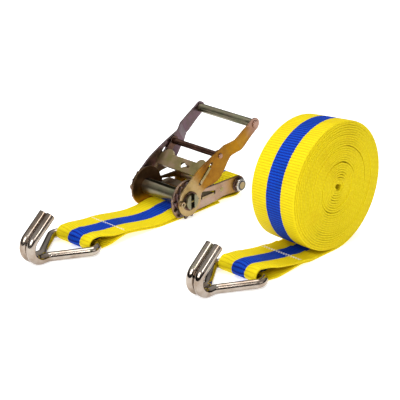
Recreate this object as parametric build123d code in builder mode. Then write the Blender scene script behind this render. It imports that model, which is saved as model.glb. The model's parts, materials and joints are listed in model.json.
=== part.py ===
from build123d import *
import os
from math import asin, atan2, cos, hypot, pi, radians, sin, sqrt, tan

# Ratchet tie down with a short strap and hook, and a rolled long strap with its own hook.
# Millimetres. X runs along the straps, hooks at -X; Y along the spool; Z up from the floor.
os.makedirs("parts", exist_ok=True)

# ---------------------------------------------------------------- driving dimensions
webbing_width = 48.0
webbing_thickness = 1.8
layer_gap = 0.3             # air between two layers of webbing
side_play = 0.9             # webbing edge to a base plate's inner face

plate_thickness = 2.0       # base plates
handle_thickness = 1.8      # handle plates
wheel_thickness = 2.0
plate_play = 0.3            # between stacked plates

spool_height = 18.5         # spool axis above the floor
spool_radius = 7.5
spool_slot = 4.8            # gap between the two half-round bars
spool_turn = 90.0           # how far the slot stands from level, degrees
shaft_play = 0.05           # radial play of the spool in its holes

wheel_radius = 18.1         # tips of the teeth
wheel_root = 14.8
wheel_teeth = 13
tip_play = 0.8              # teeth to a pawl at rest

base_end_radius = 19.1      # round front of a base plate about the spool
base_rise = 3.9             # top edge above the spool axis, at the front
base_rise_rear = 2.9        # and at the strap bolt
base_drop = 15.4            # bottom edge below the spool axis, at the front
base_drop_rear = 12.4       # and at the strap bolt
base_belly = (40.0, -13.2)  # bottom edge where it starts to rise over the webbing
base_notch = (50.0, -11.4)  # and where it stands highest
bolt_reach = 72.0           # spool axis to strap bolt
bolt_drop = 5.5             # strap bolt below the spool axis
bolt_beyond = 0.4           # bolt end past its nut
bolt_radius = 4.0
sleeve_radius = 6.2
loop_sag = 2.2              # the webbing's loop hangs this far below the bolt

arm_angle = 32.9            # handle above level at rest, degrees
arm_length = 100.5          # spool axis to grip axis
hub_radius = 14.9
grip_radius = 4.2
grip_end_radius = 6.0
joggle = 5.0                # outward step of a handle plate before the grip
joggle_after = 10.0         # from the crossbar to the start of the step
joggle_run = 10.0

crossbar_reach = 52.9
crossbar_angle = 38.9
crossbar_radius = 2.9

pawl_angle = 44.0           # drive pawl's slide above level at rest, degrees
pawl_inner = 24.0           # pawl plate's lower edge to the spool axis
pawl_outer = 37.0           # and its upper edge
pawl_ear = 18.0             # length of its ears along the slide
pawl_thickness = 2.6
pawl_travel = 3.6
pawl_play = 0.3

lock_inner = 22.5           # locking pawl plate's edge to the spool axis
lock_depth = 12.5
lock_drop = 5.2             # locking pawl's underside below the spool axis
lock_travel = 4.0
lock_rod_reach = 48.5       # spring rod behind the locking pawl
lock_rod_radius = 2.45

wire_radius = 4.25          # hook wire
hook_length = 49.5          # hook bar to the centre of the upturned bend
hook_bend = 12.0            # centreline radius of the upturned bend
hook_rise = 40.0            # tip above level, degrees
hook_tip = 26.0             # straight length of a tip
hook_half_bar = 34.0        # middle of the bar to where its line meets a leg's
hook_corner = 8.0           # centreline radius between bar and leg
hook_gap = 0.35             # between the two tips

short_reach = 111.0         # spool axis to the short strap's hook bar
short_loop = 36.0           # hook bar to the end of the sewn eye
short_tail = 47.5           # spool axis to the cut end under the base
short_lift = 6.5            # how far the end of that eye stands off the floor
short_rest = 27.0           # spool axis to where the short strap meets the floor
bolt_tail = 6.0             # spool axis to the cut end of the bolt's eye
bolt_slope = 40.0           # webbing's rise to the bolt, degrees
bend_radius = 5.0           # webbing's small bends
roll_radius = 61.0
roll_hole_radius = 3.0
roll_x = 37.0               # roll axis from the spool axis
roll_aside = 151.0          # roll's middle from the ratchet's middle
roll_hook_reach = 97.0      # roll axis to its hook bar
long_loop = 50.0            # that bar to the end of its sewn eye
long_tail = 25.0            # roll axis to the cut end of that eye
long_lift = 2.2             # how far the end of that eye stands off the floor
long_rest = 31.0            # roll axis to where the long strap meets the floor

# ---------------------------------------------------------------- worked-out places
base_inner = webbing_width / 2 + side_play
base_outer = base_inner + plate_thickness
wheel_inner = base_outer + plate_play
wheel_outer = wheel_inner + wheel_thickness
handle_inner = wheel_outer + plate_play
handle_outer = handle_inner + handle_thickness
grip_inner = handle_inner + joggle
grip_outer = handle_outer + joggle

head_thickness = 1.2        # rivet heads
rivet_radius = 2.0
grip_head_radius = 3.8
crossbar_head_radius = 2.5
ear_proud = 0.8             # pawl ears beyond the handle plates
cotter_radius = 0.9
pin_tail = 2.2              # split pin beyond the spool
pin_eye = 1.8
washer_thickness = 0.8
nut_thickness = 4.0
nut_radius = 6.6
bolt_end = base_outer + washer_thickness + nut_thickness

hook_bar_height = webbing_thickness + layer_gap + wire_radius
leg_slope = atan2(hook_half_bar - wire_radius - hook_gap / 2, hook_length - hook_corner)
straight_half_bar = hook_half_bar - hook_corner * tan((pi / 2 + leg_slope) / 2)
fold_width = 2 * straight_half_bar + layer_gap
hook_front = hook_length + hook_bend + wire_radius
hook_half_width = straight_half_bar + hook_corner + wire_radius
spool_end = handle_outer + washer_thickness + 2 * cotter_radius + 1.0

x_low = -short_reach - hook_front
x_high = roll_x + roll_radius
y_low = -roll_aside - max(webbing_width / 2, hook_half_width)
y_high = max(grip_outer + head_thickness, spool_end)
spool_x = -(x_low + x_high) / 2
spool_y = -(y_low + y_high) / 2
roll_y = spool_y - roll_aside
sides = {"near": -1, "far": 1}


def side_plane(y, angle=0.0, x=0.0, z=0.0):
    """Upright plane at y from the ratchet's middle, facing -Y, its X turned up by angle."""
    a = radians(angle)
    return Plane(
        origin=(spool_x + x, spool_y + y, spool_height + z),
        x_dir=(cos(a), 0, sin(a)),
        z_dir=(0, -1, 0),
    )


def save(part, label):
    part.label = label
    export_step(part, f"parts/{label}.step")


def polar(reach, angle):
    return (reach * cos(radians(angle)), reach * sin(radians(angle)))


# ---------------------------------------------------------------- base plates
bolt_at = (bolt_reach, -bolt_drop)
slot_top = -lock_drop + pawl_thickness + 4.2
lock_slot_start = lock_inner - 1.8
lock_slot_end = lock_inner + lock_depth + lock_travel + 0.6

for side, sign in sides.items():
    mid = sign * (base_inner + plate_thickness / 2)
    with BuildPart() as base_plate:
        with BuildSketch(side_plane(mid)):
            Circle(base_end_radius)
            with Locations((0, -base_drop - base_end_radius)):
                Rectangle(4 * base_end_radius, 2 * base_end_radius, mode=Mode.SUBTRACT)
            with BuildLine():
                Polyline(
                    (0, base_rise),
                    (bolt_reach, base_rise_rear),
                    (bolt_reach, -base_drop_rear),
                    base_notch,
                    base_belly,
                    (0, -base_drop),
                    close=True,
                )
            make_face()
            with Locations((bolt_reach, (base_rise_rear - base_drop_rear) / 2)):
                Circle((base_rise_rear + base_drop_rear) / 2)
            Circle(spool_radius + shaft_play, mode=Mode.SUBTRACT)
            with Locations(bolt_at):
                Circle(bolt_radius + shaft_play, mode=Mode.SUBTRACT)
            with Locations((lock_rod_reach, -lock_drop + pawl_thickness / 2)):
                Circle(lock_rod_radius, mode=Mode.SUBTRACT)
            with BuildLine():
                Polyline(
                    (lock_slot_start, -lock_drop - pawl_play),
                    (lock_slot_end, -lock_drop - pawl_play),
                    (lock_slot_end, -lock_drop + pawl_thickness + pawl_play),
                    (lock_slot_start, slot_top),
                    close=True,
                )
            make_face(mode=Mode.SUBTRACT)
        extrude(amount=plate_thickness / 2, both=True)
    save(base_plate.part, f"base_plate_{side}")

# ---------------------------------------------------------------- strap bolt
with BuildPart() as strap_bolt:
    with BuildSketch(side_plane(base_outer + washer_thickness, 0, *bolt_at)):
        Circle(bolt_radius)
    extrude(amount=base_outer + washer_thickness + bolt_end + bolt_beyond)
    with BuildSketch(side_plane(base_outer + washer_thickness, 0, *bolt_at)):
        RegularPolygon(nut_radius, 6)
    extrude(amount=-nut_thickness)
save(strap_bolt.part, "strap_bolt")

with BuildPart() as bolt_sleeve:
    with BuildSketch(side_plane(base_inner, 0, *bolt_at)):
        Circle(sleeve_radius)
        Circle(bolt_radius + shaft_play, mode=Mode.SUBTRACT)
    extrude(amount=2 * base_inner)
save(bolt_sleeve.part, "bolt_sleeve")

for side, sign in sides.items():
    with BuildPart() as bolt_washer:
        with BuildSketch(side_plane(sign * (base_outer + washer_thickness / 2), 0, *bolt_at)):
            Circle(nut_radius + 1.2)
            Circle(bolt_radius + shaft_play, mode=Mode.SUBTRACT)
        extrude(amount=washer_thickness / 2, both=True)
    save(bolt_washer.part, f"bolt_washer_{side}")

with BuildPart() as bolt_nut:
    with BuildSketch(side_plane(-base_outer - washer_thickness, 0, *bolt_at)):
        RegularPolygon(nut_radius, 6)
        Circle(bolt_radius + shaft_play, mode=Mode.SUBTRACT)
    extrude(amount=nut_thickness)
save(bolt_nut.part, "bolt_nut")

# ---------------------------------------------------------------- spool
pin_reach = handle_outer + washer_thickness + cotter_radius + plate_play
pin_out = radians(spool_turn + 90)


def pin_plane(sign, offset=0.0):
    """Plane square to a split pin, at its middle."""
    return Plane(
        origin=(spool_x, spool_y + sign * pin_reach, spool_height),
        x_dir=(0, 1, 0),
        z_dir=(cos(pin_out), 0, sin(pin_out)),
    ).offset(offset)


for name, turn in {"front": 0, "rear": 180}.items():
    with BuildPart() as spool_half:
        with BuildSketch(side_plane(0, spool_turn + turn)):
            Circle(spool_radius)
            with Locations((0, -spool_radius + spool_slot / 2)):
                Rectangle(4 * spool_radius, 2 * spool_radius, mode=Mode.SUBTRACT)
        extrude(amount=spool_end, both=True)
        for sign in sides.values():
            with BuildSketch(pin_plane(sign)):
                Circle(cotter_radius + shaft_play)
            extrude(amount=2 * spool_radius, both=True, mode=Mode.SUBTRACT)
    save(spool_half.part, f"spool_half_{name}")

tooth_step = 360 / wheel_teeth
for side, sign in sides.items():
    mid = sign * (wheel_inner + wheel_thickness / 2)
    with BuildPart() as ratchet_wheel:
        with BuildSketch(side_plane(mid, spool_turn)):
            with BuildLine():
                corners = []
                for i in range(wheel_teeth):
                    corners.append(polar(wheel_radius, i * tooth_step))
                    corners.append(polar(wheel_radius, (i + 0.14) * tooth_step))
                    corners.append(polar(wheel_root, (i + 0.94) * tooth_step))
                Polyline(*corners, close=True)
            make_face()
            Circle(spool_radius + shaft_play, mode=Mode.SUBTRACT)
            Rectangle(2 * spool_radius + 2, spool_slot - 2 * shaft_play)
        extrude(amount=wheel_thickness / 2, both=True)
    save(ratchet_wheel.part, f"ratchet_wheel_{side}")

    with BuildPart() as split_pin:
        with BuildSketch(pin_plane(sign, -spool_radius - pin_tail)):
            Circle(cotter_radius)
        extrude(amount=2 * spool_radius + 2 * pin_tail)
        with BuildSketch(side_plane(sign * pin_reach, spool_turn + 90)):
            with Locations((spool_radius + pin_tail + pin_eye, 0)):
                Circle(pin_eye + cotter_radius)
                Circle(pin_eye - cotter_radius / 2, mode=Mode.SUBTRACT)
        extrude(amount=cotter_radius - 0.25, both=True)
    save(split_pin.part, f"split_pin_{side}")

    with BuildPart() as spool_washer:
        with BuildSketch(side_plane(sign * (handle_outer + washer_thickness / 2 + 0.1))):
            Circle(spool_radius + 1.7)
            Circle(spool_radius + shaft_play, mode=Mode.SUBTRACT)
        extrude(amount=washer_thickness / 2, both=True)
    save(spool_washer.part, f"spool_washer_{side}")

# ---------------------------------------------------------------- handle
grip_at = polar(arm_length, arm_angle)
crossbar_at = polar(crossbar_reach, crossbar_angle)
joggle_start = crossbar_reach + joggle_after
joggle_end = joggle_start + joggle_run
pawl_tip = wheel_radius + tip_play
slot_low = pawl_tip - 1.7
slot_high = pawl_outer + pawl_travel + 2.0
slot_centre = polar((slot_low + slot_high) / 2, pawl_angle - arm_angle)


def outward_plane(sign, y, at=(0, 0)):
    """Upright plane that faces away from the ratchet's middle."""
    return Plane(
        origin=(spool_x + at[0], spool_y + sign * y, spool_height + at[1]),
        x_dir=(1, 0, 0),
        z_dir=(0, sign, 0),
    )


def rivet(sign, seat, at, head_radius, shank, label):
    """A rivet whose head lies on the outer face of a plate at seat."""
    with BuildPart() as body:
        with BuildSketch(outward_plane(sign, seat, at)):
            Circle(head_radius)
        extrude(amount=head_thickness)
        rim = body.faces().sort_by(Axis.Y)[-1 if sign > 0 else 0].edges()
        fillet(rim, 0.6 * head_thickness)
        with BuildSketch(outward_plane(sign, seat, at)):
            Circle(rivet_radius)
        extrude(amount=-shank)
    save(body.part, label)


def beyond_crossbar(share):
    """Place along the arm, as a share of the way from the crossbar to the grip."""
    return crossbar_reach + share * (arm_length - crossbar_reach)


arm = radians(arm_angle)
arm_plan = Plane(
    origin=(spool_x, spool_y, spool_height),
    x_dir=(cos(arm), 0, sin(arm)),
    z_dir=(-sin(arm), 0, cos(arm)),
)
past_grip = arm_length + 2 * grip_end_radius
for side, sign in sides.items():
    centre = sign * (handle_inner + grip_outer) / 2
    with BuildPart() as handle_plate:
        with BuildSketch(side_plane(centre, arm_angle)):
            Circle(hub_radius)
            with Locations((arm_length, 0)):
                Circle(grip_end_radius)
            with BuildLine():
                Spline(
                    (0, hub_radius),
                    (0.42 * crossbar_reach, 15.8),
                    (0.76 * crossbar_reach, 13.6),
                    (crossbar_reach, 11.3),
                    (beyond_crossbar(0.2), 9.2),
                    (beyond_crossbar(0.42), 7.4),
                    (beyond_crossbar(0.68), 6.8),
                    (arm_length, grip_end_radius),
                    tangents=((1, 0), (1, 0)),
                )
                Line((arm_length, grip_end_radius), (arm_length, -grip_end_radius))
                Spline(
                    (arm_length, -grip_end_radius),
                    (beyond_crossbar(0.72), -6.2),
                    (beyond_crossbar(0.48), -7.0),
                    (beyond_crossbar(0.2), -6.3),
                    (beyond_crossbar(0.04), -8.4),
                    (0.79 * crossbar_reach, -12.6),
                    (0.65 * crossbar_reach, -12.0),
                    (0.45 * crossbar_reach, -7.0),
                    (0.26 * crossbar_reach, -5.6),
                    tangents=((-1, 0), (-1, 0.1)),
                )
                Polyline((0.26 * crossbar_reach, -5.6), (0, -5.6), (0, hub_radius))
            make_face()
            Circle(spool_radius + shaft_play, mode=Mode.SUBTRACT)
            with Locations((arm_length, 0), polar(crossbar_reach, crossbar_angle - arm_angle)):
                Circle(rivet_radius + shaft_play, mode=Mode.SUBTRACT)
            with Locations(Location(slot_centre, pawl_angle - arm_angle)):
                SlotOverall(slot_high - slot_low, pawl_thickness + 2 * pawl_play, mode=Mode.SUBTRACT)
        extrude(amount=(grip_outer - handle_inner) / 2 + 1, both=True)
        with BuildSketch(arm_plan):
            with BuildLine():
                Polyline(
                    (-2 * hub_radius, sign * handle_inner),
                    (joggle_start, sign * handle_inner),
                    (joggle_end, sign * grip_inner),
                    (past_grip, sign * grip_inner),
                    (past_grip, sign * grip_outer),
                    (joggle_end, sign * grip_outer),
                    (joggle_start, sign * handle_outer),
                    (-2 * hub_radius, sign * handle_outer),
                    close=True,
                )
            make_face()
        extrude(amount=2 * hub_radius, both=True, mode=Mode.INTERSECT)
    save(handle_plate.part, f"handle_plate_{side}")
    rivet(sign, grip_outer, grip_at, grip_head_radius, handle_thickness + 3.0, f"grip_rivet_{side}")
    rivet(sign, handle_outer, crossbar_at, crossbar_head_radius, handle_thickness + 3.0,
          f"crossbar_rivet_{side}")

rods = {
    "grip_tube": (grip_at, grip_radius, grip_inner),
    "crossbar": (crossbar_at, crossbar_radius, handle_inner),
}
for label, (at, radius, half_length) in rods.items():
    with BuildPart() as rod:
        with BuildSketch(side_plane(0, 0, *at)):
            Circle(radius)
            Circle(rivet_radius + shaft_play, mode=Mode.SUBTRACT)
        extrude(amount=half_length, both=True)
    save(rod.part, label)

# ---------------------------------------------------------------- drive pawl
pawl_lean = radians(pawl_angle)
pawl_mid = (pawl_inner + pawl_outer) / 2
pawl_plane = Plane(
    origin=(spool_x, spool_y, spool_height),
    x_dir=(cos(pawl_lean), 0, sin(pawl_lean)),
    z_dir=(-sin(pawl_lean), 0, cos(pawl_lean)),
)
ear_end = handle_outer + ear_proud
with BuildPart() as drive_pawl:
    with BuildSketch(pawl_plane):
        with Locations((pawl_mid, 0)):
            Rectangle(pawl_outer - pawl_inner, 2 * (handle_inner - pawl_play))
        for sign in sides.values():
            with Locations((pawl_tip + pawl_ear / 2, sign * (wheel_inner + ear_end) / 2)):
                Rectangle(pawl_ear, ear_end - wheel_inner)
            with Locations((pawl_outer, sign * (handle_inner - 8.5))):
                Ellipse(4.6, 5.6)
        with Locations((pawl_mid, -5.5)):
            SlotOverall(9.4, 2.4, rotation=90, mode=Mode.SUBTRACT)
        with Locations((pawl_mid, -1.4)):
            Circle(2.9, mode=Mode.SUBTRACT)
    extrude(amount=pawl_thickness / 2, both=True)
save(drive_pawl.part, "drive_pawl")

# sheet-metal legs of the crossbar's yoke, which reach down towards the drive pawl
leg_thickness = 1.5
leg_end = pawl_outer + pawl_travel + 1.0
for side, sign in sides.items():
    with BuildPart() as yoke_leg:
        with BuildSketch(side_plane(sign * (handle_inner - 1.2), crossbar_angle)):
            with Locations(((leg_end + crossbar_reach) / 2, 0)):
                Rectangle(crossbar_reach - leg_end, 7.0)
            with Locations((crossbar_reach, 0)):
                Circle(crossbar_radius + 2.1)
                Circle(crossbar_radius + shaft_play, mode=Mode.SUBTRACT)
        extrude(amount=leg_thickness / 2, both=True)
    save(yoke_leg.part, f"yoke_leg_{side}")

# ---------------------------------------------------------------- locking pawl
lock_height = -lock_drop + pawl_thickness / 2
lock_tip = sqrt(pawl_tip**2 - (lock_drop - pawl_thickness) ** 2)
lock_outer = lock_inner + lock_depth
lock_tab = 3.0
pawl_edge = handle_inner - pawl_play
with BuildPart() as locking_pawl:
    with BuildSketch(Plane(origin=(spool_x, spool_y, spool_height + lock_height))):
        with Locations(((lock_inner + lock_outer) / 2, 0)):
            Rectangle(lock_depth, 2 * pawl_edge)
        for sign in sides.values():
            with Locations(((lock_tip + lock_outer) / 2, sign * (wheel_inner + pawl_edge) / 2)):
                Rectangle(lock_outer - lock_tip, pawl_edge - wheel_inner)
        with Locations((lock_outer + lock_tab / 2, 0)):
            Rectangle(lock_tab, 16.0)
        with Locations(((lock_inner + lock_outer) / 2, 0)):
            SlotOverall(14.0, 4.6, rotation=90, mode=Mode.SUBTRACT)
    extrude(amount=pawl_thickness / 2, both=True)
save(locking_pawl.part, "locking_pawl")

with BuildPart() as lock_rod:
    with BuildSketch(side_plane(0, 0, lock_rod_reach, lock_height)):
        Circle(lock_rod_radius - shaft_play)
    extrude(amount=base_outer, both=True)
save(lock_rod.part, "lock_rod")

# coil springs between the rod and the locking pawl, drawn as a ribbed sleeve
coil_start = lock_outer + lock_tab + lock_travel + pawl_play
coil_end = lock_rod_reach - lock_rod_radius
coil_turns = 4
coil_step = (coil_end - coil_start) / coil_turns
coil_wire = 0.55
for side, sign in sides.items():
    with BuildPart() as lock_spring:
        spring_plane = Plane(
            origin=(spool_x, spool_y + sign * 5.0, spool_height + lock_height),
            x_dir=(1, 0, 0),
            z_dir=(0, -1, 0),
        )
        with BuildSketch(spring_plane):
            with Locations(((coil_start + coil_end) / 2, 1.9)):
                Rectangle(coil_end - coil_start, 0.5)
            for i in range(coil_turns):
                with Locations((coil_start + (i + 0.5) * coil_step, 2.0)):
                    Circle(coil_wire)
        revolve(axis=Axis(spring_plane.origin, (1, 0, 0)))
    save(lock_spring.part, f"lock_spring_{side}")

# ---------------------------------------------------------------- hooks
def hook(bar_x, mid_y, label):
    """Two lengths of wire that leave a bar, close up and turn over side by side."""
    tip_aside = wire_radius + hook_gap / 2
    rise = radians(hook_rise)
    bend_x = bar_x - hook_length
    bend_z = wire_radius + hook_bend
    tip_x = bend_x - hook_bend * sin(rise)
    tip_z = bend_z + hook_bend * cos(rise)
    with BuildPart() as wire:
        for sign in sides.values():
            tip_y = mid_y + sign * tip_aside
            low_point = (bend_x, tip_y, wire_radius)
            with BuildLine() as upturn:
                ThreePointArc(
                    low_point,
                    (bend_x - hook_bend, tip_y, bend_z),
                    (tip_x, tip_y, tip_z),
                )
                Line(
                    (tip_x, tip_y, tip_z),
                    (tip_x + hook_tip * cos(rise), tip_y, tip_z + hook_tip * sin(rise)),
                )
            with BuildSketch(Plane(origin=low_point, z_dir=(-1, 0, 0))):
                Circle(wire_radius)
            sweep(path=upturn.line)
            with BuildLine() as leg:
                FilletPolyline(
                    low_point,
                    (bend_x + hook_corner, tip_y, wire_radius),
                    (bar_x, mid_y + sign * hook_half_bar, hook_bar_height),
                    (bar_x, mid_y, hook_bar_height),
                    radius=hook_corner,
                )
            with BuildSketch(Plane(origin=low_point, z_dir=(1, 0, 0))):
                Circle(wire_radius)
            sweep(path=leg.line)
    save(wire.part, label)


short_bar_x = spool_x - short_reach
long_bar_x = spool_x + roll_x - roll_hook_reach
hook(short_bar_x, spool_y, "short_hook")
hook(long_bar_x, roll_y, "long_hook")

# ---------------------------------------------------------------- webbing
first_layer = webbing_thickness / 2
second_layer = first_layer + webbing_thickness + layer_gap
third_layer = second_layer + webbing_thickness + layer_gap
eye_radius = wire_radius + layer_gap + webbing_thickness / 2


def eye(bar_x, mid_y, start_x, rest_x, length, lift):
    """Webbing's middle line from start_x along the floor, off it at rest_x and round a bar."""
    drop = hook_bar_height - second_layer - lift
    slope = asin(eye_radius / hypot(length, drop)) + atan2(drop, length)
    top = (bar_x + eye_radius * sin(slope), hook_bar_height + eye_radius * cos(slope))
    FilletPolyline(
        (start_x, mid_y, first_layer),
        (rest_x, mid_y, first_layer),
        (bar_x + length, mid_y, first_layer + lift),
        (bar_x + 1.5 * eye_radius, mid_y, first_layer),
        (bar_x, mid_y, first_layer),
        radius=bend_radius,
    )
    ThreePointArc(
        (bar_x, mid_y, first_layer),
        (bar_x - eye_radius, mid_y, hook_bar_height),
        (top[0], mid_y, top[1]),
    )
    return (top[0], mid_y, top[1])


def gathered(bar_x, mid_y, far_x):
    """Plan outline of the webbing: narrower where it goes between the hook's legs."""
    half = webbing_width / 2
    return [
        (bar_x - 2 * eye_radius, mid_y - fold_width / 2),
        (bar_x + eye_radius, mid_y - fold_width / 2),
        (bar_x + 3 * eye_radius, mid_y - half),
        (far_x, mid_y - half),
        (far_x, mid_y + half),
        (bar_x + 3 * eye_radius, mid_y + half),
        (bar_x + eye_radius, mid_y + fold_width / 2),
        (bar_x - 2 * eye_radius, mid_y + fold_width / 2),
    ]


bolt_x = spool_x + bolt_reach
bolt_z = spool_height - bolt_drop
loop_z = bolt_z - loop_sag
wrap_radius = sleeve_radius + loop_sag + layer_gap + webbing_thickness / 2
lean = radians(bolt_slope)
wrap_start = (bolt_x - wrap_radius * sin(lean), loop_z + wrap_radius * cos(lean))
knee_x = wrap_start[0] - (wrap_start[1] - third_layer) / tan(lean)
with BuildPart() as short_strap:
    with BuildLine() as path:
        rest_x = spool_x - short_rest
        top = eye(short_bar_x, spool_y, spool_x + short_tail, rest_x, short_loop, short_lift)
        FilletPolyline(
            top,
            (short_bar_x + short_loop, spool_y, second_layer + short_lift),
            (rest_x, spool_y, second_layer),
            (spool_x - 2 * bend_radius, spool_y, second_layer),
            (spool_x, spool_y, third_layer),
            (knee_x, spool_y, third_layer),
            (wrap_start[0], spool_y, wrap_start[1]),
            radius=bend_radius,
        )
        ThreePointArc(
            (wrap_start[0], spool_y, wrap_start[1]),
            (bolt_x + wrap_radius, spool_y, loop_z),
            (bolt_x, spool_y, loop_z - wrap_radius),
        )
        FilletPolyline(
            (bolt_x, spool_y, loop_z - wrap_radius),
            (bolt_x - bend_radius, spool_y, loop_z - wrap_radius),
            (bolt_x - 3 * bend_radius, spool_y, second_layer),
            (spool_x + bolt_tail, spool_y, second_layer),
            radius=bend_radius,
        )
    with BuildSketch(Plane(origin=(spool_x + short_tail, spool_y, first_layer), z_dir=(-1, 0, 0))):
        Rectangle(webbing_thickness, webbing_width)
    sweep(path=path.line)
    with BuildSketch():
        with BuildLine():
            Polyline(*gathered(short_bar_x, spool_y, bolt_x + 2 * wrap_radius), close=True)
        make_face()
    extrude(amount=4 * spool_height, mode=Mode.INTERSECT)
save(short_strap.part, "short_strap")

roll_axis = (spool_x + roll_x, roll_radius)
lead_start = roll_axis[0] - roll_radius * sin(radians(16))
with BuildPart() as lead_strap:
    with BuildLine() as path:
        rest_x = roll_axis[0] - long_rest
        top = eye(long_bar_x, roll_y, lead_start, rest_x, long_loop, long_lift)
        FilletPolyline(
            top,
            (long_bar_x + long_loop, roll_y, second_layer + long_lift),
            (rest_x, roll_y, second_layer),
            (roll_axis[0] - long_tail, roll_y, second_layer),
            radius=bend_radius,
        )
    with BuildSketch(Plane(origin=(lead_start, roll_y, first_layer), z_dir=(-1, 0, 0))):
        Rectangle(webbing_thickness, webbing_width)
    sweep(path=path.line)
    with BuildSketch():
        with BuildLine():
            Polyline(*gathered(long_bar_x, roll_y, roll_axis[0]), close=True)
        make_face()
    extrude(amount=4 * hook_bar_height, mode=Mode.INTERSECT)
save(lead_strap.part, "lead_strap")

with BuildPart() as strap_roll:
    with BuildSketch(Plane(origin=(roll_axis[0], roll_y, roll_axis[1]), z_dir=(0, -1, 0))):
        Circle(roll_radius)
        Circle(roll_hole_radius, mode=Mode.SUBTRACT)
    extrude(amount=webbing_width / 2, both=True)
save(strap_roll.part, "strap_roll")
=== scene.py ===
import json
from bisect import bisect_right
from math import cos, hypot, pi, radians, sin

import bpy
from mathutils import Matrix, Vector, noise


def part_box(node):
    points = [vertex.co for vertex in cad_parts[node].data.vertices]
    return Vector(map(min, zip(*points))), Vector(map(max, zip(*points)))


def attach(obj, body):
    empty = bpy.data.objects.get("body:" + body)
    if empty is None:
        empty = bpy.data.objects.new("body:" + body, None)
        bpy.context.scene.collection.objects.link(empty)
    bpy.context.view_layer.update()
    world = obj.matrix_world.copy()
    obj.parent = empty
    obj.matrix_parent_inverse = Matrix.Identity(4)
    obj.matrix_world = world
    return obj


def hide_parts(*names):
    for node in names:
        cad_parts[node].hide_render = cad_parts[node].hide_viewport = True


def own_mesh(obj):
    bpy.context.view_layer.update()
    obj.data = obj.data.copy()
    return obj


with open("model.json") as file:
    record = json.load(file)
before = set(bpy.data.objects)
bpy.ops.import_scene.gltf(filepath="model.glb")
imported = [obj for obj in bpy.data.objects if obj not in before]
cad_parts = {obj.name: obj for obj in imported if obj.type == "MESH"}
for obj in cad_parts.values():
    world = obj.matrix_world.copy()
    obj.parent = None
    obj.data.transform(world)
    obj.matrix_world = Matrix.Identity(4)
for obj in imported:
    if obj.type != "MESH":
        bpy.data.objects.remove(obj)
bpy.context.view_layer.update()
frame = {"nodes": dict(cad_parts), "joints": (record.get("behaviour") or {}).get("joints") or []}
scene = bpy.context.scene
nodes = frame["nodes"]
joints = {joint["name"]: joint for joint in frame["joints"]}
MM = 0.001

# ---------------------------------------------------------------- places taken from the frame
spool = Vector(joints["spool_spin"]["pos_m"])
short_bar = Vector(joints["short_hook_swing"]["pos_m"])
long_bar = Vector(joints["long_hook_swing"]["pos_m"])


def middle(node):
    low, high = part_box(node)
    return (low + high) / 2


def size(node):
    low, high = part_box(node)
    return high - low


bolt = middle("bolt_sleeve")
sleeve_radius = size("bolt_sleeve").x / 2
roll = middle("strap_roll")
roll_radius = size("strap_roll").x / 2

# webbing, in metres
WIDTH = size("strap_roll").y
THICK = 1.8 * MM
AIR = 0.3 * MM                      # between two layers
first = THICK / 2                   # heights of the middles of the layers on the floor
second = first + THICK + AIR
third = second + THICK + AIR
wire_radius = short_bar.z - THICK - AIR
eye_radius = wire_radius + AIR + THICK / 2
fold_half = size("short_hook").y / 2 - 9.2 * MM    # half its width where it is bunched on a hook
LOOP_SAG = 2.2 * MM                 # the loop round the strap bolt hangs this far below it
wrap_radius = sleeve_radius + LOOP_SAG + AIR + THICK / 2


# ---------------------------------------------------------------- shader maths
class Wire:
    """A socket of a finish. Its operators add Math nodes."""

    def __init__(self, finish, socket):
        self.finish = finish
        self.socket = socket

    def math(self, operation, *values):
        return self.finish.node("ShaderNodeMath", dict(enumerate(values)), operation=operation)

    def __add__(self, other):
        return self.math("ADD", self, other)

    def __radd__(self, other):
        return self.math("ADD", other, self)

    def __sub__(self, other):
        return self.math("SUBTRACT", self, other)

    def __rsub__(self, other):
        return self.math("SUBTRACT", other, self)

    def __mul__(self, other):
        return self.math("MULTIPLY", self, other)

    def __rmul__(self, other):
        return self.math("MULTIPLY", other, self)

    def __truediv__(self, other):
        return self.math("DIVIDE", self, other)

    def __pow__(self, other):
        return self.math("POWER", self, other)

    def __abs__(self):
        return self.math("ABSOLUTE", self)

    def __gt__(self, other):
        return self.math("GREATER_THAN", self, other)

    def __lt__(self, other):
        return self.math("LESS_THAN", self, other)

    def floor(self):
        return self.math("FLOOR", self)

    def within(self, low, high):
        """0 below low, 1 above high and smooth between."""
        return self.finish.node(
            "ShaderNodeMapRange",
            {"Value": self, "From Min": low, "From Max": high},
            interpolation_type="SMOOTHSTEP",
        )


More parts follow.
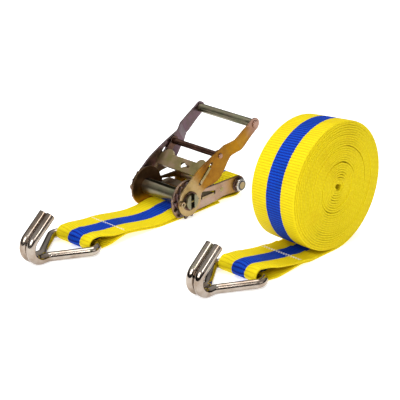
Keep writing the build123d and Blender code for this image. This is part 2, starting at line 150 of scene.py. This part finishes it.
class Finish:
    """A material, or the world, and its nodes."""

    def __init__(self, name, world=False):
        blocks = bpy.data.worlds if world else bpy.data.materials
        self.block = blocks.new(name)
        self.block.use_nodes = True
        self.tree = self.block.node_tree
        self.tree.nodes.clear()

    def node(self, kind, sockets=None, out=0, stops=None, **settings):
        """Adds a node and returns one of its outputs; stops are the places and colours of a ramp."""
        made = self.tree.nodes.new(kind)
        for key, value in settings.items():
            setattr(made, key, value)
        if stops:
            points = made.color_ramp.elements
            while len(points) < len(stops):
                points.new(0.5)
            for point, (place, colour) in zip(points, stops):
                point.position = place
                point.color = (*colour, 1)
        for key, value in (sockets or {}).items():
            if isinstance(value, Wire):
                self.tree.links.new(value.socket, made.inputs[key])
            elif isinstance(value, tuple) and made.inputs[key].type == "RGBA":
                made.inputs[key].default_value = (*value, 1)
            else:
                made.inputs[key].default_value = value
        return None if out is None else Wire(self, made.outputs[out])

    def place(self, scale=(1, 1, 1)):
        """Object coordinates, stretched."""
        here = self.node("ShaderNodeTexCoord", out="Object")
        return self.node("ShaderNodeMapping", {"Vector": here, "Scale": scale})

    def speckle(self, scale, detail=3.0, where=None, rough=0.5, twist=0.0):
        return self.node(
            "ShaderNodeTexNoise",
            {
                "Vector": where or self.place(),
                "Scale": scale,
                "Detail": detail,
                "Roughness": rough,
                "Distortion": twist,
            },
        )

    def ramp(self, value, stops):
        return self.node("ShaderNodeValToRGB", {"Fac": value}, stops=stops)

    def along(self, way):
        """Distance from the spool along a direction."""
        here = self.node("ShaderNodeTexCoord", out="Object")
        reach = self.node("ShaderNodeVectorMath", {0: here, 1: way}, out="Value", operation="DOT_PRODUCT")
        return reach - spool.dot(Vector(way))

    def tinted(self, share, tones):
        """The tones spread over the middle of a share, where most of its values lie."""
        start, spread = 0.26, 0.48
        count = len(tones) - 1
        return self.ramp(share, [(start + spread * i / count, tone) for i, tone in enumerate(tones)])

    def mix(self, share, low, high, blend="MIX"):
        """Two colours mixed; 6 and 7 are the node's colour inputs and 2 its colour output."""
        return self.node(
            "ShaderNodeMix", {0: share, 6: low, 7: high}, out=2, data_type="RGBA", blend_type=blend
        )

    def bump(self, height, distance, strength=1.0, over=None):
        sockets = {"Height": height, "Distance": distance, "Strength": strength}
        if over:
            sockets["Normal"] = over
        return self.node("ShaderNodeBump", sockets)

    def shade(self, sockets):
        surface = self.node("ShaderNodeBsdfPrincipled", sockets)
        self.node("ShaderNodeOutputMaterial", {"Surface": surface}, out=None)
        return self.block


# ---------------------------------------------------------------- finishes
def plating(name, tones, shine=0.27, patch=34.0, worn=0.5, zones=(), edges=True):
    """Zinc plating whose film changes tint over the surface, rubbed brighter along the edges.

    A zone is a direction, where along it from the spool, in mm, another set of tones starts and
    is reached, and those tones.
    """
    zone_blur = 14 * MM
    edge_radius = 0.45 * MM
    grain_depth = 0.04 * MM
    f = Finish(name)
    film = f.speckle(patch, detail=4.0, rough=0.55, twist=0.8)
    fine = f.speckle(900.0, detail=2.0)
    rolled = f.speckle(140.0, detail=5.0, rough=0.7)
    share = film * 0.75 + rolled * 0.35 - 0.05
    colour = f.tinted(share, tones)
    for way, low, high, other in zones:
        there = (f.along(way) + zone_blur * (film - 0.5)).within(low * MM, high * MM)
        colour = f.mix(there, colour, f.tinted(share, other))
    dull = f.speckle(60.0, detail=3.0).within(0.45, 0.75)
    rough = shine + 0.16 * dull + 0.1 * rolled
    relief = fine * 0.5 + rolled * 0.5
    rounded = None
    if edges:
        rounded = f.node("ShaderNodeBevel", {"Radius": edge_radius}, samples=4)
        flat = f.node("ShaderNodeNewGeometry", out="Normal")
        facing = {0: rounded, 1: flat}
        square = f.node("ShaderNodeVectorMath", facing, out="Value", operation="DOT_PRODUCT")
        edge = (1 - square).within(0.01, 0.22) * (0.35 + 0.9 * rolled)
        bare = tuple(min(1.0, 0.3 + 0.75 * c) for c in tones[-1])
        colour = f.mix(edge * worn, colour, bare)
        rough = rough - 0.08 * edge
    normal = f.bump(relief, grain_depth, 0.5, over=rounded)
    return f.shade({"Base Color": colour, "Metallic": 1.0, "Roughness": rough, "Normal": normal})


def woven(name):
    """Polyester webbing, yellow with a blue middle third, ribbed across, its colour darkened between its
    yarns as painted shade.
    """
    end = 1.7 * MM                          # width of one end of warp
    pick = 2.6 * MM                         # one rib across the webbing
    selvedge_width = 1.6 * MM
    stripe_middle = 0.487 * WIDTH
    stripe_half = 0.168 * WIDTH
    f = Finish(name)
    flat = f.node("ShaderNodeUVMap", uv_map="cloth")
    across = f.node("ShaderNodeSeparateXYZ", {"Vector": flat}, out="X")
    along = f.node("ShaderNodeSeparateXYZ", {"Vector": flat}, out="Y")
    row = (along / pick).floor()
    odd = row * 0.5 - (row * 0.5).floor()
    rib = abs(along / pick - row - 0.5) * 2
    column = (across / end + odd).floor()
    inside = abs(across / end + odd - column - 0.5) * 2
    height = ((1 - rib * rib) ** 0.7) * (0.5 + 0.5 * ((1 - inside * inside) ** 0.6))
    selvedge = abs(across - WIDTH / 2) > (WIDTH / 2 - selvedge_width)
    drift = 0.5 * MM * (f.speckle(260.0, detail=1.0) - 0.5) + 0.35 * MM * rib
    blue = abs(across + drift - stripe_middle) < stripe_half
    fibre = f.speckle(2600.0, detail=2.0)
    soil = f.speckle(38.0, detail=4.0)
    # painted shade: both yarn colours darken where the weave is low, in the valleys between the yarns
    lit = (height * (1 - 0.6 * selvedge) + 0.4 * selvedge) * 0.75 + fibre * 0.25
    yellow_yarn = f.ramp(
        lit, [(0.08, (0.42, 0.30, 0.001)), (0.38, (0.68, 0.51, 0.003)), (0.85, (0.78, 0.64, 0.006))]
    )
    blue_yarn = f.ramp(
        lit, [(0.08, (0.0005, 0.002, 0.05)), (0.4, (0.0008, 0.012, 0.22)), (0.9, (0.002, 0.07, 0.56))]
    )
    colour = f.mix(blue, yellow_yarn, blue_yarn)
    colour = f.mix(soil.within(0.5, 0.8) * 0.3, colour, (0.85, 0.68, 0.02), blend="MULTIPLY")
    normal = f.bump(height * (1 - 0.5 * selvedge) + 0.15 * fibre, 0.32 * MM, 0.8)
    rough = 0.66 + 0.22 * fibre - 0.1 * height
    return f.shade(
        {"Base Color": colour, "Roughness": rough, "Normal": normal, "Specular IOR Level": 0.12}
    )


def thread_finish(name):
    f = Finish(name)
    twist = f.speckle(1500.0, detail=2.0, where=f.place((1, 1, 3)))
    colour = f.ramp(twist, [(0.3, (0.62, 0.58, 0.45)), (0.7, (0.93, 0.92, 0.88))])
    normal = f.bump(twist, 0.08 * MM, 0.7)
    return f.shade({"Base Color": colour, "Roughness": 0.6 + 0.2 * twist, "Normal": normal})


def nylon_finish(name):
    f = Finish(name)
    grain = f.speckle(1200.0)
    colour = f.ramp(grain, [(0.3, (0.012, 0.014, 0.02)), (0.8, (0.04, 0.045, 0.06))])
    normal = f.bump(grain, 0.05 * MM, 0.5)
    return f.shade({"Base Color": colour, "Roughness": 0.4 + 0.2 * grain, "Normal": normal})


webbing = woven("yellow_webbing_blue_stripe")
thread = thread_finish("white_sewing_thread")
nylon = nylon_finish("lock_nut_nylon")

ARM = (0.84, 0, 0.543)                  # along the handle at rest
DOWN_ARM = (-0.84, 0, -0.543)
BACK = (1, 0, 0)
UP = (0, 0, 1)
pink_brown = [(0.15, 0.075, 0.045), (0.27, 0.15, 0.105), (0.345, 0.21, 0.165), (0.3, 0.225, 0.09)]
tan_gold = [(0.192, 0.12, 0.04), (0.336, 0.232, 0.096), (0.4, 0.288, 0.16), (0.368, 0.304, 0.112)]
brown_gold = [(0.16, 0.08, 0.015), (0.30, 0.16, 0.035), (0.36, 0.20, 0.07)]
dark_brown = [(0.05, 0.03, 0.02), (0.11, 0.06, 0.03), (0.18, 0.10, 0.06)]
# plum plating tones darkened with painted shade, for the top of the far handle plate
plum_with_painted_shade = [(0.05, 0.05, 0.025), (0.087, 0.062, 0.056), (0.124, 0.074, 0.093), (0.081, 0.087, 0.043)]
amber = plating(
    "amber_plating",
    [(0.101, 0.036, 0.002), (0.23, 0.094, 0.004), (0.317, 0.151, 0.009), (0.274, 0.173, 0.036)],
    zones=[(DOWN_ARM, -24, -12, tan_gold), (ARM, 84, 97, pink_brown)],
)
rose = plating(
    "rose_plating",
    [(0.204, 0.116, 0.061), (0.313, 0.204, 0.136), (0.367, 0.258, 0.204), (0.286, 0.245, 0.116)],
    zones=[(BACK, 44, 66, brown_gold)],
)
# the far base plate turns dark brown from just below the spool's height upwards
far_base = plating(
    "far_base_plating",
    [(0.42, 0.17, 0.01), (0.60, 0.28, 0.02), (0.55, 0.33, 0.07)],
    zones=[(UP, -13, -4, dark_brown)],
)
plum = plating(
    "plum_plating",
    [(0.06, 0.06, 0.03), (0.11, 0.08, 0.07), (0.17, 0.10, 0.12), (0.12, 0.12, 0.06)],
)
# the far handle plate turns dark plum towards the top: its plating tint with painted shade
far_handle = plating(
    "far_handle_plating_and_painted_shade",
    [(0.223, 0.136, 0.062), (0.26, 0.167, 0.105), (0.248, 0.198, 0.074)],
    zones=[(UP, 4, 20, plum_with_painted_shade)],
)
olive = plating(
    "olive_plating",
    [(0.11, 0.12, 0.07), (0.18, 0.18, 0.11), (0.24, 0.20, 0.14), (0.18, 0.21, 0.12)],
)
# dark umber plating; on the spool washers it is a painted shadow ring round the spool's ends
umber = plating(
    "umber_plating_and_painted_shade",
    [(0.03, 0.018, 0.014), (0.07, 0.035, 0.025), (0.12, 0.06, 0.04), (0.06, 0.05, 0.04)],
)
khaki = plating(
    "khaki_plating",
    [(0.16, 0.13, 0.05), (0.27, 0.22, 0.09), (0.36, 0.25, 0.16), (0.28, 0.28, 0.12)],
)
pink_rivet = plating("rivet_plating", pink_brown, shine=0.22)
hook_steel = plating(
    "hook_plating",
    [(0.204, 0.136, 0.068), (0.272, 0.211, 0.163), (0.374, 0.32, 0.272), (0.299, 0.306, 0.177)],
    shine=0.06, patch=45.0, edges=False,
)
bright = plating(
    "bright_zinc", [(0.30, 0.29, 0.26), (0.46, 0.44, 0.41), (0.56, 0.54, 0.50)], shine=0.2
)
spring_wire = plating(
    "spring_wire", [(0.24, 0.22, 0.19), (0.38, 0.36, 0.32), (0.52, 0.50, 0.44)],
    shine=0.22, edges=False,
)

node_finishes = {
    amber: ["handle_plate_near"],
    far_base: ["base_plate_far"],
    rose: ["base_plate_near"],
    pink_rivet: ["grip_rivet_near", "grip_rivet_far", "crossbar_rivet_near", "crossbar_rivet_far"],
    far_handle: ["handle_plate_far"],
    plum: ["ratchet_wheel_near", "ratchet_wheel_far"],
    olive: ["grip_tube", "spool_half_front", "spool_half_rear"],
    # the spool washers get this dark finish to paint the shadow gap round the spool's ends
    umber: [
        "crossbar", "yoke_leg_near", "yoke_leg_far", "bolt_washer_near", "bolt_washer_far",
        "spool_washer_near", "spool_washer_far",
    ],
    khaki: ["drive_pawl", "locking_pawl", "lock_rod", "split_pin_near", "split_pin_far", "strap_bolt"],
    hook_steel: ["short_hook", "long_hook"],
    bright: ["bolt_sleeve", "bolt_nut"],
    spring_wire: ["lock_spring_near", "lock_spring_far"],
    webbing: ["short_strap", "lead_strap", "strap_roll"],
}
for finish, names in node_finishes.items():
    for name in names:
        for slot in nodes[name].material_slots:
            slot.material = finish


# ---------------------------------------------------------------- lines that the webbing follows
def smooth(low, high, value):
    share = min(1.0, max(0.0, (value - low) / (high - low)))
    return share * share * (3 - 2 * share)


def run(start, end, step=3 * MM):
    """Points on a straight run, without its last."""
    count = max(1, round(hypot(end[0] - start[0], end[1] - start[1]) / step))
    return [
        (start[0] + (end[0] - start[0]) * i / count, start[1] + (end[1] - start[1]) * i / count)
        for i in range(count)
    ]


def turn(centre, radius, start, end, step=8.0):
    """Points on an arc between two angles in degrees, without its last."""
    count = max(1, round(abs(end - start) / step))
    points = []
    for i in range(count):
        angle = radians(start + (end - start) * i / count)
        points.append((centre[0] + radius * cos(angle), centre[1] + radius * sin(angle)))
    return points


def ease(start, leave, end, arrive, count=14):
    """Points on a smooth bend, without its last; leave and arrive are its handles."""
    a = Vector(start)
    b = a + Vector(leave)
    d = Vector(end)
    c = d - Vector(arrive)
    points = []
    for i in range(count):
        t = i / count
        p = (1 - t) ** 3 * a + 3 * t * (1 - t) ** 2 * b + 3 * t * t * (1 - t) * c + t ** 3 * d
        points.append((p.x, p.y))
    return points


class Webbing:
    """One length of webbing along a line of (x, z) points, with its outer side on one side of that line.

    Its shape function gives, at a point of the line and a place across, the half width, the rise
    off the line, the shift aside and the drop.
    """

    def __init__(self, name, line, mid_y, outer, shape, columns=16):
        self.mid_y = mid_y
        self.shape = shape
        self.points = [Vector((x, z)) for x, z in line]
        self.lengths = [0.0]
        for a, b in zip(self.points, self.points[1:]):
            self.lengths.append(self.lengths[-1] + (b - a).length)
        self.outward = []
        last = len(self.points) - 1
        for i in range(last + 1):
            way = (self.points[min(i + 1, last)] - self.points[max(i - 1, 0)]).normalized()
            self.outward.append(Vector((-way.y, way.x)) * outer)
        self.length = self.lengths[-1]
        self.piece = self.weave(name, columns)

    def spot(self, index, across, lift=0.0):
        """The place on its middle surface, across from -1 to 1."""
        half, rise, aside, drop = self.shape(self, index, across)
        flat = self.points[index] + self.outward[index] * (rise + lift)
        return Vector((flat.x, self.mid_y + aside + half * across, flat.y - drop))

    def between(self, length, across, lift):
        """The same place by length along the webbing."""
        after = min(bisect_right(self.lengths, length), len(self.points) - 1)
        before = after - 1
        share = (length - self.lengths[before]) / (self.lengths[after] - self.lengths[before])
        return self.spot(before, across, lift).lerp(self.spot(after, across, lift), share)

    def weave(self, name, columns):
        bpy.ops.object.select_all(action="DESELECT")
        rows = len(self.points) - 1
        bpy.ops.mesh.primitive_grid_add(x_subdivisions=columns, y_subdivisions=rows, size=1)
        piece = bpy.context.object
        piece.name = name
        mesh = piece.data
        cloth = mesh.uv_layers[0]
        cloth.name = "cloth"
        flat = [(vertex.co.x * 2, round((vertex.co.y + 0.5) * rows)) for vertex in mesh.vertices]
        for vertex, (across, index) in zip(mesh.vertices, flat):
            vertex.co = self.spot(index, across)
        for corner, loop in zip(cloth.data, mesh.loops):
            across, index = flat[loop.vertex_index]
            corner.uv = ((across + 1) / 2 * WIDTH, self.lengths[index])
        thicken = piece.modifiers.new("thickness", "SOLIDIFY")
        thicken.thickness = THICK
        thicken.offset = 0
        rounded = piece.modifiers.new("rounded_edges", "BEVEL")
        rounded.width = 0.55 * MM
        rounded.segments = 2
        rounded.limit_method = "ANGLE"
        rounded.angle_limit = radians(60)
        finish_piece(piece, webbing)
        return piece


def finish_piece(piece, material, angle=50.0):
    """Applies a new piece's modifiers, turns its faces outwards, smooths it and gives it its material."""
    bpy.ops.object.select_all(action="DESELECT")
    piece.select_set(True)
    bpy.context.view_layer.objects.active = piece
    for modifier in list(piece.modifiers):
        bpy.ops.object.modifier_apply(modifier=modifier.name)
    bpy.ops.object.mode_set(mode="EDIT")
    bpy.ops.mesh.select_all(action="SELECT")
    bpy.ops.mesh.normals_make_consistent(inside=False)
    bpy.ops.object.mode_set(mode="OBJECT")
    bpy.ops.object.transform_apply(location=True, rotation=True, scale=True)
    bpy.ops.object.shade_smooth_by_angle(angle=radians(angle))
    piece.data.materials.clear()
    piece.data.materials.append(material)


def drawn_in(reach, facing_up, across, seed):
    """Half width, rise and shift aside of the webbing at a length from the front of a hook's bar."""
    narrow = 1 - smooth(12 * MM, 28 * MM, abs(reach))
    puffed = (1 - smooth(7 * MM, 36 * MM, abs(reach))) * smooth(-0.85, 0.3, facing_up)
    half = WIDTH / 2 - (WIDTH / 2 - fold_half) * narrow
    lobes = (0.5 + 0.5 * cos(2.55 * pi * across)) ** 0.5
    crease = noise.noise(Vector((across * 2.6, reach / (7 * MM), seed)))
    rise = puffed * (2.3 * MM * lobes + 1.0 * MM * max(0.0, crease + 0.25))
    return half, rise, 1.2 * MM * narrow


def loose(length, across, seed):
    """Small unevenness of webbing that lies free: its rise and its shift aside."""
    wave = noise.noise(Vector((length / (55 * MM), 0.6 * across, seed)))
    aside = noise.noise(Vector((length / (90 * MM), 7.3, seed)))
    return 0.05 * MM * (wave - 1), 0.5 * MM * aside


# ---------------------------------------------------------------- short strap
short_tail = spool.x + 47.5 * MM        # its lowest layer starts here, beyond the spool
short_rest = spool.x - 27 * MM          # it lies on the floor up to here
short_sewn = short_bar.x + 36 * MM      # its hook's eye ends here, lifted off the floor
short_lift = 6.5 * MM
spool_rise = spool.x - 18 * MM          # its upper layer rises here, over the end back from the bolt
spool_flat = spool.x + 36 * MM          # and runs flat up to here
bolt_lean = 40                          # degrees before the loop's top, where it meets the loop
bolt_flat = bolt.x - 22 * MM            # the end back from the bolt runs flat from here
bolt_end = spool.x + 6 * MM             # to here

short_line = run((short_tail, first), (short_rest, first))
short_line += ease(
    (short_rest, first), (-14 * MM, 0), (short_sewn, first + short_lift), (-12 * MM, 0.4 * MM), count=16
)
short_line += ease(
    (short_sewn, first + short_lift), (-12 * MM, -0.4 * MM), (short_bar.x, first), (-11 * MM, 0), count=12
)
short_front = len(short_line) + 11      # the point at the front of the hook's bar
short_line += turn((short_bar.x, short_bar.z), eye_radius, -90, -266)
short_line += ease(
    short_line[-1], (13 * MM, 0.4 * MM), (short_sewn, second + short_lift), (12 * MM, -0.4 * MM), count=18
)[1:]
short_line += ease(
    (short_sewn, second + short_lift), (12 * MM, -0.4 * MM), (short_rest, second), (14 * MM, 0), count=16
)
short_line += run((short_rest, second), (spool_rise, second))
short_line += ease((spool_rise, second), (7 * MM, 0), (spool.x, third), (7 * MM, 0), count=8)
short_line += run((spool.x, third), (spool_flat, third))
loop = (bolt.x, bolt.z - LOOP_SAG)
lean = radians(bolt_lean)
wrap_start = (loop[0] - wrap_radius * sin(lean), loop[1] + wrap_radius * cos(lean))
short_line += ease(
    (spool_flat, third), (9 * MM, 0), wrap_start, (11 * MM * cos(lean), 11 * MM * sin(lean)), count=16
)
short_line += turn(loop, wrap_radius, 90 + bolt_lean, -90, step=9.0)
short_line += ease(
    (loop[0], loop[1] - wrap_radius), (-7 * MM, 0), (bolt_flat, second), (-7 * MM, 0), count=8
)
short_line += run((bolt_flat, second), (bolt_end, second))
short_line.append((bolt_end, second))


def short_shape(strap, index, across):
    reach = strap.lengths[index] - strap.lengths[short_front]
    half, rise, shift = drawn_in(reach, strap.outward[index].y, across, 3.1)
    wave, aside = loose(strap.lengths[index], across, 5.7)
    calm = 1 - smooth(60 * MM, 90 * MM, reach)
    skew = 1.4 * MM * smooth(70 * MM, 150 * MM, -reach)
    return half, rise + wave * calm, aside * calm - skew + shift, 0.0


short_strap = Webbing("short_webbing", short_line, spool.y, 1, short_shape)

# ---------------------------------------------------------------- long strap and its roll
PITCH = THICK + AIR
outer_turn = roll_radius - THICK / 2
core_radius = 3.6 * MM
turn_count = (outer_turn - core_radius) / PITCH
steps_per_turn = 60
# a slack place in the roll: the radius where it opens, the side it is on and its width
slack_places = [
    (23 * MM, radians(70), 0.8 * MM),
    (23 * MM, radians(250), 0.6 * MM),
    (38 * MM, radians(40), 0.65 * MM),
]


def wound(angle):
    """Radius of the rolled webbing's middle, by the angle wound inwards from the floor."""
    radius = outer_turn - PITCH * angle / (2 * pi)
    side = angle - pi / 2
    settled = smooth(0, pi / 2, angle)
    for opens_at, facing, width in slack_places:
        opened = smooth(opens_at - 0.9 * MM, opens_at + 0.3 * MM, radius)
        closing = 1 - smooth(opens_at, opens_at + 20 * MM, radius)
        radius += width * opened * closing * max(0.0, cos(side - facing)) ** 1.5
    wobble = noise.noise(Vector((2 * cos(side), 2 * sin(side), radius / (12 * MM))))
    radius += 0.22 * MM * wobble * settled
    pinch = 0.2 * (1 - smooth(3 * MM, 16 * MM, radius))
    return radius * (1 + pinch * cos(2 * side + 0.6))


long_end = roll.x - 25 * MM             # where the eye's end layer stops, beside the roll
long_rest = roll.x - 31 * MM            # the lead lies on the floor up to here
long_sewn = long_bar.x + 50 * MM        # its hook's eye ends here, lifted off the floor
long_lift = 2.2 * MM

long_line = run((long_end, second), (long_rest, second))
long_line += ease(
    (long_rest, second), (-6 * MM, 0), (long_sewn, second + long_lift), (-6 * MM, 0.3 * MM), count=8
)
long_line += ease(
    (long_sewn, second + long_lift), (-15 * MM, 0.8 * MM),
    (long_bar.x, long_bar.z + eye_radius), (-19 * MM, -0.2 * MM), count=24,
)
long_front = len(long_line) + 11        # the point at the front of the hook's bar
long_line += turn((long_bar.x, long_bar.z), eye_radius, 90, 270)
long_line += ease(
    (long_bar.x, first), (12 * MM, 0), (long_sewn, first + long_lift), (15 * MM, 0.8 * MM), count=20
)
long_line += ease(
    (long_sewn, first + long_lift), (6 * MM, -0.3 * MM), (long_rest, first), (6 * MM, 0), count=8
)
long_line += run((long_rest, first), (roll.x, first))
lead_end = len(long_line)
for i in range(round(turn_count * steps_per_turn) + 1):
    angle = 2 * pi * i / steps_per_turn
    radius = wound(angle)
    long_line.append((roll.x + radius * sin(angle), roll.z - radius * cos(angle)))


def long_shape(strap, index, across):
    reach = strap.lengths[index] - strap.lengths[long_front]
    half, rise, shift = drawn_in(reach, strap.outward[index].y, across, 9.4)
    wave, aside = loose(strap.lengths[index], across, 2.2)
    if index < lead_end:
        towards_roll = smooth(20 * MM, 90 * MM, reach) if reach > 0 else 0.0
        return half, rise + wave, shift + aside * (1 - towards_roll) + 1.3 * MM * towards_roll, 0.0
    turns_in = (index - lead_end) / steps_per_turn
    recess = 1.3 * MM * (1 - smooth(0.0, 4.5, turns_in))
    uneven = 0.45 * MM * noise.noise(Vector((turns_in * 1.7, 0.4, 8.8))) * smooth(0.0, 1.0, turns_in)
    curl = 0.0
    if turns_in < 1:
        curl = -0.25 * MM * smooth(0.8, 1.0, abs(across)) * smooth(0.0, 0.1, turns_in)
    drop = 0.09 * max(0.0, strap.points[index].y - roll.z) * (across + 1) / 2
    return half, curl, recess + uneven, drop


long_strap = Webbing("long_webbing", long_line, roll.y, -1, long_shape, columns=12)


# ---------------------------------------------------------------- sewing
def seam(name, strap, at, swing, pitch):
    """A zigzag row of stitches across a strap's outer side, each stitch an arch of thread."""
    thread_radius = 0.24 * MM
    reach = 0.9                         # of the strap's half width
    buried = THICK / 2 - 0.5 * thread_radius
    proud = THICK / 2 + 0.9 * thread_radius
    curve = bpy.data.curves.new(name, "CURVE")
    curve.dimensions = "3D"
    curve.bevel_depth = thread_radius
    curve.bevel_resolution = 2
    curve.use_fill_caps = True
    count = round(reach * WIDTH / pitch)
    line = []
    for i in range(count + 1):
        across = reach * (2 * i / count - 1)
        side = swing if i % 2 else -swing
        line.append(strap.between(at + side, across, buried))
        if i < count:
            line.append(strap.between(at + side * 0.4, across + 0.55 / count, proud))
            line.append(strap.between(at - side * 0.4, across + 1.25 / count, proud))
    spline = curve.splines.new("POLY")
    spline.points.add(len(line) - 1)
    for point, place in zip(spline.points, line):
        point.co = (*place, 1)
    piece = bpy.data.objects.new(name, curve)
    scene.collection.objects.link(piece)
    bpy.ops.object.select_all(action="DESELECT")
    piece.select_set(True)
    bpy.context.view_layer.objects.active = piece
    bpy.ops.object.convert(target="MESH")
    piece = bpy.context.object
    finish_piece(piece, thread, angle=70.0)
    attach(piece, "frame")
    return piece


# lengths along each strap, from the front of its hook's bar
short_eye = short_strap.lengths[short_front]
long_eye = long_strap.lengths[long_front]
hook_seam_at = short_eye + 44 * MM
bolt_seam_at = short_eye + (spool.x - short_bar.x) + 23 * MM
long_seam_at = long_eye - 59 * MM
short_seams = [
    seam("short_eye_seam", short_strap, hook_seam_at, 0.9 * MM, 1.5 * MM),
    seam("bolt_eye_seam", short_strap, bolt_seam_at, 1.6 * MM, 1.5 * MM),
]
long_seams = [seam("long_eye_seam", long_strap, long_seam_at, 1.8 * MM, 1.4 * MM)]

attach(short_strap.piece, "frame")
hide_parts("short_strap")
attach(long_strap.piece, "frame")
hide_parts("lead_strap", "strap_roll")


# ---------------------------------------------------------------- coil springs on the locking pawl
def coil(name, centre, radius, wire, length, turns, turned, material):
    """A wire coil whose axis is turned from +Z."""
    bpy.ops.object.select_all(action="DESELECT")
    bpy.ops.mesh.primitive_circle_add(
        vertices=8, radius=wire, rotation=(pi / 2, 0, 0), location=(radius, 0, 0)
    )
    piece = bpy.context.object
    piece.name = name
    bpy.ops.object.transform_apply(location=True, rotation=True)
    screw = piece.modifiers.new("turns", "SCREW")
    screw.angle = 2 * pi * turns
    screw.screw_offset = length - 2 * wire
    screw.steps = screw.render_steps = round(18 * turns)
    screw.use_merge_vertices = True
    bpy.ops.object.modifier_apply(modifier="turns")
    bpy.ops.object.mode_set(mode="EDIT")
    bpy.ops.mesh.select_all(action="SELECT")
    bpy.ops.mesh.region_to_loop()
    bpy.ops.mesh.fill_holes(sides=8)
    bpy.ops.object.mode_set(mode="OBJECT")
    for vertex in piece.data.vertices:
        vertex.co.z += wire
    piece.rotation_euler = turned
    piece.location = centre
    finish_piece(piece, material)
    return piece


spring_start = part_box("locking_pawl")[1].x + 0.1 * MM
for side in ("near", "far"):
    place = middle(f"lock_spring_{side}")
    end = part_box(f"lock_spring_{side}")[1].x
    spring = coil(
        f"lock_coil_{side}",
        centre=(spring_start, place.y, place.z),
        radius=1.95 * MM,
        wire=0.42 * MM,
        length=end - spring_start,
        turns=6,
        turned=(0, pi / 2, 0),
        material=spring_wire,
    )
    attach(spring, "frame")
    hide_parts(f"lock_spring_{side}")
    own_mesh(spring)


# ---------------------------------------------------------------- lock nut
def lock_nut():
    """A six-sided nut with chamfered corners and a rolled collar that holds a nylon ring."""
    place = middle("bolt_nut")
    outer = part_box("bolt_nut")[1].y
    corner = size("bolt_nut").x / 2
    height = size("bolt_nut").y
    half_body = 0.35 * height
    collar_radius = 1.05 * MM
    ring_radius = 0.7 * MM
    bpy.ops.object.select_all(action="DESELECT")
    bpy.ops.mesh.primitive_cylinder_add(vertices=6, radius=corner, depth=2 * half_body)
    nut = bpy.context.object
    nut.name = "lock_nut"
    bpy.ops.object.mode_set(mode="EDIT")
    bpy.ops.mesh.select_mode(type="FACE")
    bpy.ops.mesh.select_all(action="DESELECT")
    bpy.ops.object.mode_set(mode="OBJECT")
    for face in nut.data.polygons:
        face.select = abs(face.normal.z) > 0.9
    bpy.ops.object.mode_set(mode="EDIT")
    bpy.ops.mesh.bevel(offset=0.5 * MM, segments=2)
    bpy.ops.object.mode_set(mode="OBJECT")
    bpy.ops.object.select_all(action="DESELECT")
    bpy.ops.mesh.primitive_torus_add(
        major_segments=48, minor_segments=14, major_radius=corner - 1.4 * MM, minor_radius=collar_radius,
        location=(0, 0, half_body),
    )
    collar = bpy.context.object
    collar.select_set(True)
    nut.select_set(True)
    bpy.context.view_layer.objects.active = nut
    bpy.ops.object.join()
    nut.rotation_euler = (pi / 2, pi / 6, 0)
    nut.location = (place.x, outer - half_body, place.z)
    finish_piece(nut, bright, angle=35.0)
    bpy.ops.object.select_all(action="DESELECT")
    bpy.ops.mesh.primitive_torus_add(
        major_segments=40, minor_segments=10, major_radius=corner - 2.6 * MM, minor_radius=ring_radius,
        location=(place.x, outer - 3.9 * MM, place.z), rotation=(pi / 2, 0, 0),
    )
    ring = bpy.context.object
    ring.name = "lock_nut_ring"
    finish_piece(ring, nylon)
    for piece in (nut, ring):
        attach(piece, "frame")
    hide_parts("bolt_nut")


lock_nut()

# ---------------------------------------------------------------- floor, light and camera
bpy.ops.object.select_all(action="DESELECT")
bpy.ops.mesh.primitive_plane_add(size=12, location=(0, 0, -0.05 * MM))
floor = bpy.context.object
floor.name = "studio_floor"
paper = Finish("pale_floor")
tooth = paper.speckle(300.0)
floor.data.materials.append(
    paper.shade(
        {
            "Base Color": (0.86, 0.86, 0.86),
            "Roughness": 0.7 + 0.1 * tooth,
            "Emission Color": (1.0, 1.0, 1.0),
            "Emission Strength": 0.6,
        }
    )
)

# a bright ceiling over a dark room, so that bare metal shows dark and light bands
room = Finish("studio", world=True)
toward = room.node("ShaderNodeTexCoord", out="Generated")
rise = room.node("ShaderNodeSeparateXYZ", {"Vector": toward}, out="Z")
dim_to_bright = room.ramp(rise, [(0.28, (0.03, 0.03, 0.03)), (0.62, (1.0, 1.0, 1.0))])
around = room.node("ShaderNodeBackground", {"Color": dim_to_bright, "Strength": 0.55})
# the camera itself sees a white wall
wall = room.node("ShaderNodeBackground", {"Color": (1.0, 1.0, 1.0)})
seen = room.node("ShaderNodeLightPath", out="Is Camera Ray")
both = room.node("ShaderNodeMixShader", {0: seen, 1: around, 2: wall})
room.node("ShaderNodeOutputWorld", {"Surface": both}, out=None)
scene.world = room.block


def softbox(name, place, aim, width, height, power):
    """A rectangular lamp that faces a point."""
    lamp = bpy.data.lights.new(name, "AREA")
    lamp.shape = "RECTANGLE"
    lamp.size = width
    lamp.size_y = height
    lamp.energy = power
    box = bpy.data.objects.new(name, lamp)
    box.location = place
    box.rotation_euler = (Vector(aim) - Vector(place)).to_track_quat("-Z", "Y").to_euler()
    scene.collection.objects.link(box)


softbox("key_softbox", (-1.3, -0.25, 0.9), (0, 0, 0.04), 0.9, 0.7, 14)
softbox("top_softbox", (0.1, 0.3, 1.5), (0, 0, 0), 1.2, 1.0, 14)
softbox("side_softbox", (0.35, -1.5, 0.7), (0, 0, 0.05), 0.8, 0.6, 2)
softbox("front_strip", (-0.51, -0.88, 1.13), (-0.1, 0, 0.03), 0.22, 0.6, 3)

camera_data = bpy.data.cameras.new("studio_camera")
camera_data.sensor_width = 36
camera_data.lens = 145.8
camera = bpy.data.objects.new("studio_camera", camera_data)
camera.location = spool + Vector((-1.0081, -0.9838, 0.5754))
heading, fall = radians(43), radians(22.5)
sight = Vector((cos(heading) * cos(fall), sin(heading) * cos(fall), -sin(fall)))
camera.rotation_euler = sight.to_track_quat("-Z", "Y").to_euler()
scene.collection.objects.link(camera)
scene.camera = camera
scene.view_settings.view_transform = "Standard"
